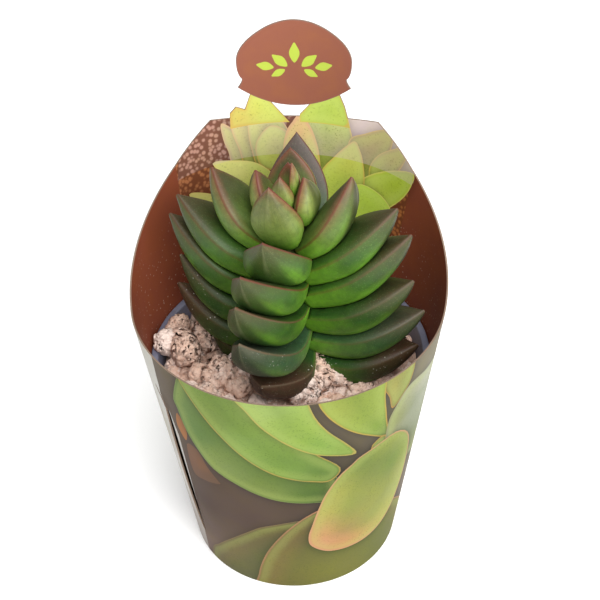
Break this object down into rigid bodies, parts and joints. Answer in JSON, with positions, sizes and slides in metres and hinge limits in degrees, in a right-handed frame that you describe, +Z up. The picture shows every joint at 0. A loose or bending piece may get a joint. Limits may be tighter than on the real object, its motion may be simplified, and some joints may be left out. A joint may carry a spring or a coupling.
{
  "type": "potted jade plant",
  "caption": "Upright branchless succulent with stacked pointed boat-shaped leaves, in a gravel-topped thin nursery pot inside a tapering display sleeve with a tall back panel and oval badge.",
  "frame": {"origin": "middle of the underside of the pot's floor, on the pot's axis", "axes": "+Z up along the pot's axis, -Y the front, where the sleeve is low, and +Y the back, where its panel and badge stand"},
  "size_m": [0.0942, 0.102, 0.1549],
  "materials": {
    "leaf": "smooth waxy succulent skin, green with red-brown margins and tips, satin",
    "stem": "green-brown fleshy stem, matt",
    "stone": "rough porous pink-beige stone, matt",
    "gravel": "fine broken gravel of the same stone, matt",
    "soil": "dark moist compost, matt",
    "pot_plastic": "thin grey-lilac nursery pot plastic, satin",
    "printed_sheet": "printed plastic sheet, satin, red-brown inside with a leaf print outside"
  },
  "bodies": {
    "root": {"bud_leaf_back": "leaf", "bud_leaf_front": "leaf", "bud_leaf_heart": "leaf", "gravel_bed": "gravel", "leaf_back_1": "leaf", "leaf_back_2": "leaf", "leaf_back_3": "leaf", "leaf_back_4": "leaf", "leaf_back_5": "leaf", "leaf_back_6": "leaf", "leaf_front_1": "leaf", "leaf_front_2": "leaf", "leaf_front_3": "leaf", "leaf_front_4": "leaf", "leaf_front_5": "leaf", "leaf_front_6": "leaf", "leaf_left_1": "leaf", "leaf_left_2": "leaf", "leaf_left_3": "leaf", "leaf_left_4": "leaf", "leaf_left_5": "leaf", "leaf_left_6": "leaf", "leaf_left_7": "leaf", "leaf_right_1": "leaf", "leaf_right_2": "leaf", "leaf_right_3": "leaf", "leaf_right_4": "leaf", "leaf_right_5": "leaf", "leaf_right_6": "leaf", "leaf_right_7": "leaf", "pot": "pot_plastic", "sleeve": "printed_sheet", "soil": "soil", "stem": "stem", "stone_01": "stone", "stone_02": "stone", "stone_03": "stone", "stone_04": "stone", "stone_05": "stone", "stone_06": "stone", "stone_07": "stone", "stone_08": "stone", "stone_09": "stone", "stone_10": "stone", "stone_11": "stone", "stone_12": "stone", "stone_13": "stone", "stone_14": "stone", "stone_15": "stone", "stone_16": "stone", "stone_17": "stone", "stone_18": "stone", "stone_19": "stone", "stone_20": "stone", "stone_21": "stone", "stone_22": "stone", "stone_23": "stone", "stone_24": "stone", "stone_25": "stone"}
  },
  "joints": []
}
